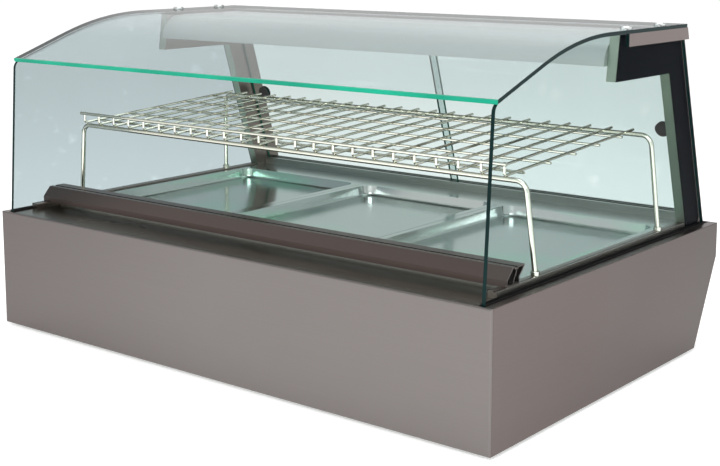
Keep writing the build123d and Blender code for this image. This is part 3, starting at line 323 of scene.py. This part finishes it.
def moulded_plastic(name, base, roughness, grain=GRAIN_SCALE, index=1.48, relief=0.12):
    """Plastic or rubber with a fine moulded grain; a low index takes its shine away."""
    material, tree, output = start_material(name)
    shader = add_node(tree, "ShaderNodeBsdfPrincipled", {"Metallic": 0.0, "IOR": index})
    speck = noise_along(tree, EVENLY, grain)
    cloud = noise_along(tree, EVENLY, FADE_SCALE)
    paint = toned(tree, cloud, base, FADE_TONE)
    rough = ranged(tree, speck, "Fac", roughness - GRAIN_SPREAD, roughness + GRAIN_SPREAD)
    bump = add_node(tree, "ShaderNodeBump", {"Strength": relief, "Distance": GRAIN_DEPTH})
    join(tree, speck, "Fac", bump, "Height")
    join(tree, paint, "Result", shader, "Base Color")
    join(tree, rough, "Result", shader, "Roughness")
    join(tree, bump, "Normal", shader, "Normal")
    join(tree, shader, "BSDF", output, "Surface")
    return material


# Sheet glass and lamp glass
# Faint wipe streaks on the panes, painted lighter as streaks of reflection
WIPE_REFLECTION_STRETCH = (1.2, 26.0, 26.0)
WIPE_REFLECTION_DETAIL = 3.0
WIPE_REFLECTION_ROUGHNESS = 0.6
WIPE_REFLECTION_START = 0.62
WIPE_REFLECTION_END = 0.78
WIPE_REFLECTION_GAIN = 1.10
PANE_SCALE = 2.4
PANE_TONE = 0.025
PANE_POLISH = 0.03
GRAZING_POWER = 4.0
EDGE_INDEX = 1.2
EDGE_SCALE = 9.0
EDGE_DARK = 0.55
EDGE_LIGHT = 1.6
EDGE_POLISH = 0.2
EDGE_SPREAD = 0.1
TUBE_INDEX = 1.46
TUBE_SCALE = 60.0
TUBE_SHADE = 0.9
TUBE_POLISH = 0.18
TUBE_FROST = 0.3


def glass_face(tree, tint, gloss, turn):
    """A pane's see-through face: tinted, glossier when seen edge-on, with faint wipe streaks
    painted lighter as reflection.
    """
    place = add_node(tree, "ShaderNodeTexCoord")
    slope = add_node(tree, "ShaderNodeMapping", {"Rotation": turn, "Scale": WIPE_REFLECTION_STRETCH})
    wipe_reflections = add_node(
        tree, "ShaderNodeTexNoise",
        {"Scale": 1.0, "Detail": WIPE_REFLECTION_DETAIL, "Roughness": WIPE_REFLECTION_ROUGHNESS},
    )
    join(tree, place, "Object", slope, "Vector")
    join(tree, slope, "Vector", wipe_reflections, "Vector")
    reflection_streak = ranged(tree, wipe_reflections, "Fac", 0.0, 1.0, WIPE_REFLECTION_START, WIPE_REFLECTION_END)
    cloud = noise_along(tree, EVENLY, PANE_SCALE)
    tone = toned(tree, cloud, tint, PANE_TONE)
    # Painted reflection: the streaks let more light through than the tint.
    reflection_streaked = blended(tree, reflection_streak, "Result", tone, scaled(tint, WIPE_REFLECTION_GAIN))
    clear = add_node(tree, "ShaderNodeBsdfTransparent")
    shine = add_node(
        tree, "ShaderNodeBsdfPrincipled",
        {"Base Color": colour(WHITE), "Metallic": 1.0, "Roughness": PANE_POLISH},
    )
    facing = add_node(tree, "ShaderNodeLayerWeight", {"Blend": EVEN_BLEND})
    grazing = add_node(tree, "ShaderNodeMath", {1: GRAZING_POWER}, operation="POWER")
    share = add_node(tree, "ShaderNodeMapRange", {"To Min": gloss[0], "To Max": gloss[1]})
    face = add_node(tree, "ShaderNodeMixShader")
    join(tree, reflection_streaked, "Result", clear, "Color")
    join(tree, facing, "Facing", grazing, 0)
    join(tree, grazing, "Value", share, "Value")
    join(tree, share, "Result", face, "Fac")
    join(tree, clear, "BSDF", face, 1)
    join(tree, shine, "BSDF", face, 2)
    return face


def glass_edge(tree, base):
    """A pane's cut edge: deep coloured glass with a soft polish."""
    cut = add_node(tree, "ShaderNodeBsdfPrincipled", {"IOR": EDGE_INDEX})
    depth = noise_along(tree, EVENLY, EDGE_SCALE)
    paint = blended(tree, depth, "Fac", scaled(base, EDGE_DARK), scaled(base, EDGE_LIGHT))
    rough = ranged(tree, depth, "Fac", EDGE_POLISH - EDGE_SPREAD, EDGE_POLISH + EDGE_SPREAD)
    join(tree, paint, "Result", cut, "Base Color")
    join(tree, rough, "Result", cut, "Roughness")
    return cut


def pane_glass(name, tint, edges, gloss, turn):
    """Sheet glass: clear faces, and cut edges each with its colour and its mask."""
    material, tree, output = start_material(name)
    whole = glass_face(tree, tint, gloss, turn)
    for base, mask in edges:
        factor = mask(tree)
        cut = glass_edge(tree, base)
        layered = add_node(tree, "ShaderNodeMixShader")
        join(tree, factor, mask_output(factor), layered, "Fac")
        join(tree, whole, "Shader", layered, 1)
        join(tree, cut, "BSDF", layered, 2)
        whole = layered
    join(tree, whole, "Shader", output, "Surface")
    return material


def glowing_tube(name, base, strength):
    """Frosted tube glass with a faint glow of its own."""
    material, tree, output = start_material(name)
    shader = add_node(
        tree, "ShaderNodeBsdfPrincipled",
        {"IOR": TUBE_INDEX, "Emission Color": colour(base), "Emission Strength": strength},
    )
    cloud = noise_along(tree, EVENLY, TUBE_SCALE)
    paint = blended(tree, cloud, "Fac", scaled(base, TUBE_SHADE), base)
    rough = ranged(tree, cloud, "Fac", TUBE_POLISH, TUBE_FROST)
    join(tree, paint, "Result", shader, "Base Color")
    join(tree, rough, "Result", shader, "Roughness")
    join(tree, shader, "BSDF", output, "Surface")
    return material


def dress(material, *names):
    """Give CAD nodes one finish."""
    for name in names:
        slots = NODES[name].data.materials
        if not slots:
            slots.append(material)
        for place in range(len(slots)):
            slots[place] = material


# Casing
def front_fade(tree):
    """Painted shade: 0 at the casing's left end, which is painted darker, and 1 from its middle
    to the right.
    """
    return along_axis(tree, "X", CAD_LOW.x, 0.0)


def side_fade(tree):
    """Painted shade: 0 at the customer's side and 1 at the server's side, which is painted
    darker.
    """
    return along_axis(tree, "Y", CAD_LOW.y, CAD_HIGH.y)


# The casing front is painted darker towards its left end, as shade.
dress(
    two_tone_metal(
        "casing_front_painted_shade", CASING_FRONT_LEFT_SHADE, CASING_FRONT, front_fade, ALONG_X, roughness=0.34,
    ),
    "front_panel", "rear_fascia", "rear_panel",
)
# The casing sides are painted darker towards the server's side, as shade.
dress(
    two_tone_metal(
        "casing_side_painted_shade", CASING_SIDE, CASING_SIDE_BACK_SHADE, side_fade, ALONG_Y, roughness=0.34,
    ),
    "side_panel_left", "side_panel_right",
)
dress(
    brushed_metal("plain_steel", PLAIN_STEEL, ALONG_X, roughness=0.3),
    "base_floor", "corner_posts", "mat_bearers", "element_rests", "panel_screws",
)
dress(
    moulded_plastic("black_rubber", RUBBER_BLACK, roughness=0.55, index=1.2),
    "feet", "glass_gaskets",
)

# Deck, pans and well
DECK_BORDER = 0.034
DECK_BLUR = 0.002
plateau_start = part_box("pan_left")[0].y - DECK_BORDER


def plateau(tree):
    """0 on the deck's front ledge and 1 on the plateau behind it."""
    return along_axis(tree, "Y", plateau_start, plateau_start + DECK_BLUR)


# The deck's front ledge is taupe sheet, painted darker as shade and reflection under the front
# rail.
dress(
    two_tone_metal(
        "deck_steel_and_ledge_shade", DECK_LEDGE_TAUPE_AND_SHADE, DECK_STEEL, plateau, ALONG_X, roughness=0.26,
    ),
    "deck", "pan_bars",
)
dress(
    brushed_metal("well_steel", WELL_STEEL, ALONG_X, roughness=0.24),
    "well_liner", "reflector",
)
# The pans carry patches of painted mint reflection.
dress(
    brushed_metal(
        "pan_steel", PAN_STEEL, ALONG_Y, roughness=0.16, spread=0.03, tone=0.03, relief=0.03,
        tint=MINT_REFLECTION,
    ),
    "pan_left", "pan_centre", "pan_right",
)
dress(
    brushed_metal("element_sheath", SHEATH_GREY, ALONG_Y, roughness=0.45),
    "heating_elements",
)
dress(
    moulded_plastic("insulation_fibre", FIBRE_YELLOW, roughness=0.9, grain=500.0),
    "insulation_mat",
)

# Frame: rail, clamps, uprights, brackets, tracks and canopy
dress(brushed_metal("rail_aluminium", RAIL_BROWN, ALONG_X, roughness=0.36), "front_rail")
dress(
    brushed_metal("clamp_aluminium", CLAMP_TAUPE, ALONG_Y, roughness=0.3),
    "side_clamp_left", "side_clamp_right",
)
dress(
    two_tone_metal(
        "upright_aluminium", UPRIGHT_SAGE, UPRIGHT_TAUPE, turned_along_x, ALONG_Z,
        roughness=0.32, metallic=0.9,
    ),
    "upright_left", "upright_right",
)
dress(
    brushed_metal("bracket_aluminium", BRACKET_TAUPE, ALONG_Y, roughness=0.34),
    "top_bracket_left", "top_bracket_right",
)
dress(
    brushed_metal("track_aluminium", TRACK_GREY, ALONG_X, roughness=0.3),
    "bottom_track", "top_track",
)
dress(
    brushed_metal("canopy_aluminium", CANOPY_GREY, ALONG_X, roughness=0.45, metallic=0.7),
    "canopy",
)
dress(
    moulded_plastic("black_mask", MASK_BLACK, roughness=0.4, index=1.03, relief=0.02),
    "glass_mask_left", "glass_mask_right",
)
dress(polished_wire("bright_cap", CAP_BRIGHT, CAP_RIM_SHADE), "glass_fixings")

# Rack
dress(
    polished_wire("bright_wire", WIRE_BRIGHT, WIRE_RIM_SHADE),
    "rack_grid", "rack_rod_front", "rack_rod_back", "leg_sockets",
)

# Lamps in the canopy
dress(glowing_tube("heater_quartz", QUARTZ_WARM, strength=0.15), "heat_tubes")
dress(glowing_tube("light_opal", OPAL_WHITE, strength=0.6), "light_tube")
dress(
    moulded_plastic("pale_ceramic", CERAMIC_WHITE, roughness=0.5),
    "tube_holders", "light_holders", "terminal_block",
)

# Controls and cable entry
dress(
    moulded_plastic("dark_plastic", CONTROL_BLACK, roughness=0.4),
    "thermostat", "thermostat_knob", "switch_housings", "cable_gland",
)
dress(brushed_metal("shaft_brass", SHAFT_BRASS, ALONG_Y, roughness=0.25), "thermostat_shaft")
dress(moulded_plastic("amber_lens", LENS_AMBER, roughness=0.15), "pilot_lamp")
dress(
    moulded_plastic("rocker_plastic", ROCKER_BLACK, roughness=0.25),
    "rocker_heat", "rocker_light",
)

# Glass panes, with green edges on the top's front and the doors, and dark teal ones elsewhere
EDGE_DEPTH = 0.0035
EDGE_BLUR = 0.0002
BACK_EDGE_DEPTH = EDGE_DEPTH / 4
DOOR_EDGE_SHADE = 0.3
TOP_GLOSS = (0.01, 0.5)
SIDE_GLOSS = (0.0, 0.05)
DOOR_GLOSS = (0.004, 0.3)
QUARTER_TURN = 1.5708
# Turns of the wipe streaks, painted lighter as reflection, on each pane
TOP_WIPE_REFLECTIONS = (0.0, 0.0, 0.5)
SIDE_WIPE_REFLECTIONS = (0.12, 0.0, QUARTER_TURN)
DOOR_WIPE_REFLECTIONS = (0.0, 0.6, 0.0)
top_low, top_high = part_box("top_glass")


def front_strip(tree):
    """The top pane's front edge, the lowest strip along its front."""
    strip_end = top_low.y + EDGE_DEPTH
    return along_axis(tree, "Y", strip_end, strip_end - EDGE_BLUR)


def back_strip(tree):
    """The top pane's back edge."""
    return along_axis(tree, "Y", top_high.y - BACK_EDGE_DEPTH, top_high.y - BACK_EDGE_DEPTH / 2)


def cut_outline(tree):
    """A side pane's rim, but for its back edge, which lets the post show through."""
    shape = add_node(tree, "ShaderNodeNewGeometry")
    parts = add_node(tree, "ShaderNodeSeparateXYZ")
    flat = turned_along_x(tree)
    back = add_node(tree, "ShaderNodeMath", {1: FACE_LIMIT}, operation="GREATER_THAN")
    either = add_node(tree, "ShaderNodeMath", operation="MAXIMUM")
    rest = add_node(tree, "ShaderNodeMath", {0: 1.0}, operation="SUBTRACT")
    join(tree, shape, "True Normal", parts, "Vector")
    join(tree, parts, "Y", back, 0)
    join(tree, flat, "Value", either, 0)
    join(tree, back, "Value", either, 1)
    join(tree, either, "Value", rest, 1)
    return rest


top_edges = ((GLASS_TEAL, turned_along_x), (GLASS_GREEN, front_strip), (GLASS_TEAL, back_strip))
side_edges = ((GLASS_TEAL, cut_outline),)
door_edges = ((scaled(GLASS_GREEN, DOOR_EDGE_SHADE), turned_along_x),)
dress(pane_glass("top_pane", TOP_TINT, top_edges, TOP_GLOSS, TOP_WIPE_REFLECTIONS), "top_glass")
# The left side pane's darker tint is painted shade.
for hand, tint in (("left", LEFT_TINT_SHADED), ("right", RIGHT_TINT)):
    dress(
        pane_glass(f"side_pane_{hand}", tint, side_edges, SIDE_GLOSS, SIDE_WIPE_REFLECTIONS),
        f"side_glass_{hand}",
    )
dress(
    pane_glass("door_pane", DOOR_TINT, door_edges, DOOR_GLOSS, DOOR_WIPE_REFLECTIONS),
    "door_left", "door_right",
)
dress(
    moulded_plastic("pull_plastic", PULL_BROWN, roughness=0.35),
    "door_pull_left", "door_pull_right",
)
dress(
    moulded_plastic("shoe_plastic", SHOE_GREY, roughness=0.4),
    "door_shoe_left", "door_shoe_right",
)

# Printed marks of the dial and the switches, on the server's side
FASCIA_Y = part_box("rear_fascia")[1].y
PRINT_HEIGHT = 0.0001
PRINT_THICKNESS = 2 * PRINT_HEIGHT
PRINT_ROUGHNESS = 0.5
PRINT_RELIEF = 0.03
DIAL_SWEEP = 270.0
DIAL_START = -DIAL_SWEEP / 2
DIAL_STEPS = 6
TICK_RADIUS = 0.0225
TICK_LENGTH = 0.0022
TICK_WIDTH = 0.0006
NUMBER_RADIUS = 0.0262
NUMBER_SIZE = 0.0042
POINTER_RADIUS = 0.010
POINTER_LENGTH = 0.0085
POINTER_WIDTH = 0.0012
MARK_LENGTH = 0.0042
MARK_WIDTH = 0.0008
MARK_RADIUS = 0.0022
RING_SEGMENTS = 32
RING_SIDES = 8
ON_MARK = 0.75
OFF_MARK = 0.25
ROCKER_CLEARANCE = 0.01
SERVER_SIDE = Vector((0.0, 1.0, 0.0))
knob_low, knob_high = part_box("thermostat_knob")
knob_middle = (knob_low + knob_high) / 2


def place_mark(mark, spot, turn, facing=SERVER_SIDE):
    """Stand a flat mark on a face, turned about the face's own normal."""
    stand = facing.to_track_quat("Z", "Y").to_matrix().to_4x4()
    mark.matrix_world = Matrix.Translation(spot) @ stand @ Matrix.Rotation(turn, 4, "Z")
    bpy.ops.object.transform_apply(location=True, rotation=True, scale=True)


def finish_mark(mark, name, material, body):
    """Name a mark, give it its paint and the body that it rides on."""
    mark.name = name
    mark.data.materials.append(material)
    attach(mark, body)


def flattened(mark, scale):
    """The selected mark, scaled to a thin print."""
    mark.scale = scale
    bpy.ops.object.transform_apply(location=True, rotation=True, scale=True)
    return mark


def bar_mark(width, length):
    """A thin printed bar."""
    bpy.ops.object.select_all(action="DESELECT")
    bpy.ops.mesh.primitive_cube_add(size=1.0)
    return flattened(bpy.context.object, (width, length, PRINT_THICKNESS))


def ring_mark(radius, width):
    """A thin printed ring."""
    bpy.ops.object.select_all(action="DESELECT")
    bpy.ops.mesh.primitive_torus_add(
        major_radius=radius, minor_radius=width / 2,
        major_segments=RING_SEGMENTS, minor_segments=RING_SIDES,
    )
    return flattened(bpy.context.object, (1.0, 1.0, PRINT_THICKNESS / width))


def number_mark(text):
    """A printed number."""
    bpy.ops.object.select_all(action="DESELECT")
    bpy.ops.object.text_add()
    letters = bpy.context.object.data
    letters.body = text
    letters.size = NUMBER_SIZE
    letters.align_x = "CENTER"
    letters.align_y = "CENTER"
    letters.extrude = PRINT_HEIGHT
    bpy.ops.object.convert(target="MESH")
    return bpy.context.object


def copied(mark):
    """A copy of a mark with its own mesh, alone in the selection."""
    twin = mark.copy()
    twin.data = mark.data.copy()
    bpy.context.collection.objects.link(twin)
    bpy.ops.object.select_all(action="DESELECT")
    twin.select_set(True)
    bpy.context.view_layer.objects.active = twin
    return twin


def dial_point(radius, angle, y):
    """A place round the knob, its angle counted from straight up about +Y."""
    return Vector((knob_middle.x + radius * sin(angle), y, knob_middle.z + radius * cos(angle)))


print_white = moulded_plastic("print_white", PRINT_WHITE, PRINT_ROUGHNESS, relief=PRINT_RELIEF)
print_dark = moulded_plastic("print_dark", PRINT_DARK, PRINT_ROUGHNESS, relief=PRINT_RELIEF)

plain_tick = bar_mark(TICK_WIDTH, TICK_LENGTH)
for step in range(DIAL_STEPS + 1):
    angle = radians(DIAL_START + step * DIAL_SWEEP / DIAL_STEPS)
    tick = copied(plain_tick)
    place_mark(tick, dial_point(TICK_RADIUS, angle, FASCIA_Y), angle)
    finish_mark(tick, f"dial_tick_{step}", print_dark, "cabinet")
    number = number_mark(str(step))
    place_mark(number, dial_point(NUMBER_RADIUS, angle, FASCIA_Y), 0.0)
    finish_mark(number, f"dial_number_{step}", print_dark, "cabinet")

rest_angle = radians(DIAL_START)
pointer = bar_mark(POINTER_WIDTH, POINTER_LENGTH)
place_mark(pointer, dial_point(POINTER_RADIUS, rest_angle, knob_high.y), rest_angle)
finish_mark(pointer, "knob_pointer", print_white, "knob")

plain_bar = bar_mark(MARK_WIDTH, MARK_LENGTH)
plain_ring = ring_mark(MARK_RADIUS, MARK_WIDTH)
for use in ("heat", "light"):
    low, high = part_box(f"rocker_{use}")
    for kind, plain_mark, share in (("on", plain_bar, ON_MARK), ("off", plain_ring, OFF_MARK)):
        mark_height = low.z + share * (high.z - low.z)
        start = Vector(((low.x + high.x) / 2, high.y + ROCKER_CLEARANCE, mark_height))
        _, spot, normal, _ = NODES[f"rocker_{use}"].ray_cast(start, -SERVER_SIDE)
        mark = copied(plain_mark)
        place_mark(mark, spot, 0.0, normal)
        finish_mark(mark, f"{use}_{kind}_mark", print_white, f"{use}_rocker")

for pattern in (plain_tick, plain_bar, plain_ring):
    bpy.data.objects.remove(pattern)

# Floor, light and camera
FLOOR_SIZE = 40.0
FLOOR_ROUGHNESS = 0.9
FLOOR_GLOW = 0.28
SKY_START = 0.66
SKY_END = 0.84
SKY_STRENGTH = 1.0


def pale_floor():
    """A plain pale floor under the object."""
    bpy.ops.object.select_all(action="DESELECT")
    bpy.ops.mesh.primitive_plane_add(size=FLOOR_SIZE, location=(0.0, 0.0, 0.0))
    floor = bpy.context.object
    floor.name = "floor"
    material, tree, output = start_material("floor_white")
    shader = add_node(
        tree, "ShaderNodeBsdfPrincipled",
        {
            "Base Color": colour(FLOOR_WHITE),
            "Roughness": FLOOR_ROUGHNESS,
            "Emission Color": colour(WHITE),
            "Emission Strength": FLOOR_GLOW,
        },
    )
    join(tree, shader, "BSDF", output, "Surface")
    floor.data.materials.append(material)


def soft_light(name, place, target, size, power):
    """A large soft area light turned to a point."""
    data = bpy.data.lights.new(name, "AREA")
    data.shape = "RECTANGLE"
    data.size, data.size_y = size
    data.energy = power
    lamp = bpy.data.objects.new(name, data)
    bpy.context.collection.objects.link(lamp)
    lamp.location = place
    aim = Vector(target) - Vector(place)
    lamp.rotation_euler = aim.to_track_quat("-Z", "Y").to_euler()


def studio_world():
    """Soft white light from all round, greyer overhead."""
    world = bpy.data.worlds.new("studio")
    bpy.context.scene.world = world
    world.use_nodes = True
    tree = world.node_tree
    background = tree.nodes["Background"]
    place = add_node(tree, "ShaderNodeTexCoord")
    parts = add_node(tree, "ShaderNodeSeparateXYZ")
    join(tree, place, "Generated", parts, "Vector")
    climb = ranged(tree, parts, "Z", 0.0, 1.0, SKY_START, SKY_END)
    sky = blended(tree, climb, "Result", WHITE, ZENITH_GREY)
    join(tree, sky, "Result", background, "Color")
    background.inputs["Strength"].default_value = SKY_STRENGTH


def photo_camera():
    """The camera at the photograph's place, lens and framing."""
    data = bpy.data.cameras.new("photo_camera")
    data.sensor_width = SENSOR
    data.lens = FOCAL_PIXELS * SENSOR / IMAGE_WIDTH
    data.shift_y = SHIFT_Y
    data.clip_end = CAMERA_REACH
    camera = bpy.data.objects.new("photo_camera", data)
    bpy.context.collection.objects.link(camera)
    camera.location = CAMERA_PLACE
    camera.rotation_euler = (radians(90.0 - CAMERA_ELEVATION), 0.0, radians(CAMERA_AZIMUTH))
    bpy.context.scene.camera = camera


pale_floor()
studio_world()
soft_light(
    "key", place=(1.6, -3.2, 2.2), target=(0.3, -0.3, 0.1), size=(2.4, 1.6), power=90.0,
)
soft_light(
    "top", place=(0.3, 0.2, 3.0), target=(0.0, 0.0, 0.2), size=(3.0, 2.4), power=40.0,
)
photo_camera()
bpy.context.scene.view_settings.view_transform = "Standard"
